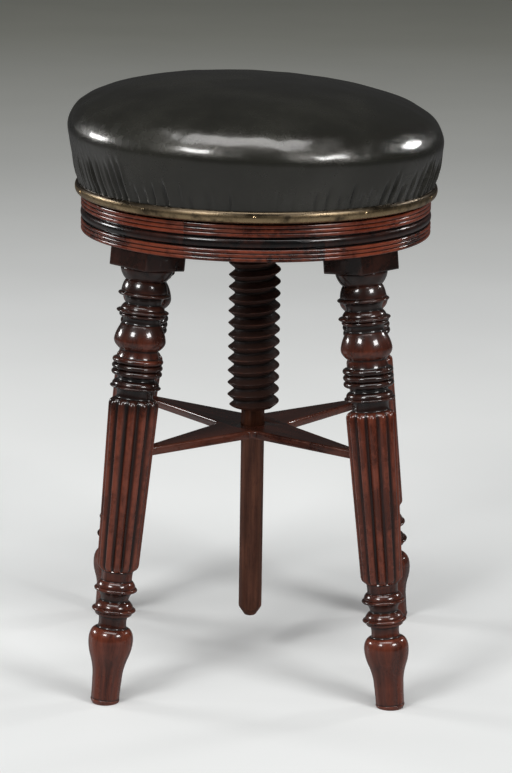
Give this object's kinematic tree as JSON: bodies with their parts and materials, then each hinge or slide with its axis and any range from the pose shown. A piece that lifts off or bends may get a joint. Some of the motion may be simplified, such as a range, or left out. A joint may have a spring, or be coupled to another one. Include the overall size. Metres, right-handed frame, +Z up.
{
  "type": "revolving piano stool",
  "caption": "Round padded leather seat on a wooden screw that winds up and down in a reeded drum on four turned, reeded legs with a crossed stretcher.",
  "frame": {"origin": "on the floor, on the axis of the screw", "axes": "+Z up along the screw, the front of the stool faces -Y, +X to the right seen from the front"},
  "size_m": [0.344, 0.344, 0.5585],
  "materials": {
    "black_leather": "polished black hide, fine grain, gathered round the lower edge",
    "cotton_wadding": "matt off-white cotton",
    "horsehair": "curled dark hair",
    "board_wood": "planed hardwood board, unpolished underneath",
    "brass": "polished, a little tarnished",
    "iron_fasteners": "blackened iron",
    "screw_wood": "very dark hardwood, waxed",
    "washer_leather": "thick undyed sole leather",
    "ring_mahogany": "french-polished red mahogany with a blackened half-round",
    "leg_mahogany": "french-polished dark mahogany",
    "wedge_wood": "plain split wedge",
    "stretcher_wood": "polished dark mahogany"
  },
  "bodies": {
    "base": {"frieze_segment_1": "ring_mahogany", "frieze_segment_2": "ring_mahogany", "frieze_segment_3": "ring_mahogany", "frieze_segment_4": "ring_mahogany", "frieze_segment_5": "ring_mahogany", "frieze_segment_6": "ring_mahogany", "frieze_segment_7": "ring_mahogany", "frieze_segment_8": "ring_mahogany", "base_board": "board_wood", "screw_nut": "screw_wood", "nut_screws": "iron_fasteners", "leg_front_left": "leg_mahogany", "leg_front_right": "leg_mahogany", "leg_rear_left": "leg_mahogany", "leg_rear_right": "leg_mahogany", "tenon_wedges": "wedge_wood", "stretcher_bar_a": "stretcher_wood", "stretcher_bar_b": "stretcher_wood"},
    "screw_carriage": {"stop_washer": "washer_leather"},
    "seat": {"leather_cover": "black_leather", "wadding_layer": "cotton_wadding", "horsehair_stuffing": "horsehair", "seat_board": "board_wood", "brass_beading": "brass", "beading_pins": "brass", "leather_tacks": "iron_fasteners", "screw": "screw_wood", "screw_head_screws": "iron_fasteners"}
  },
  "joints": [
    {"name": "seat_rise", "type": "slide", "parent": "base", "child": "screw_carriage", "axis": [0, 0, 1], "range_m": [0, 0.1368]},
    {"name": "seat_turn", "type": "hinge", "parent": "screw_carriage", "child": "seat", "pos_m": [0, 0, 0.4515], "axis": [0, 0, 1], "range_deg": [0, 4320]}
  ],
  "couplings": [
    {"joint": "seat_rise", "follows": "seat_turn", "m_per_rad": 0.0018144}
  ]
}
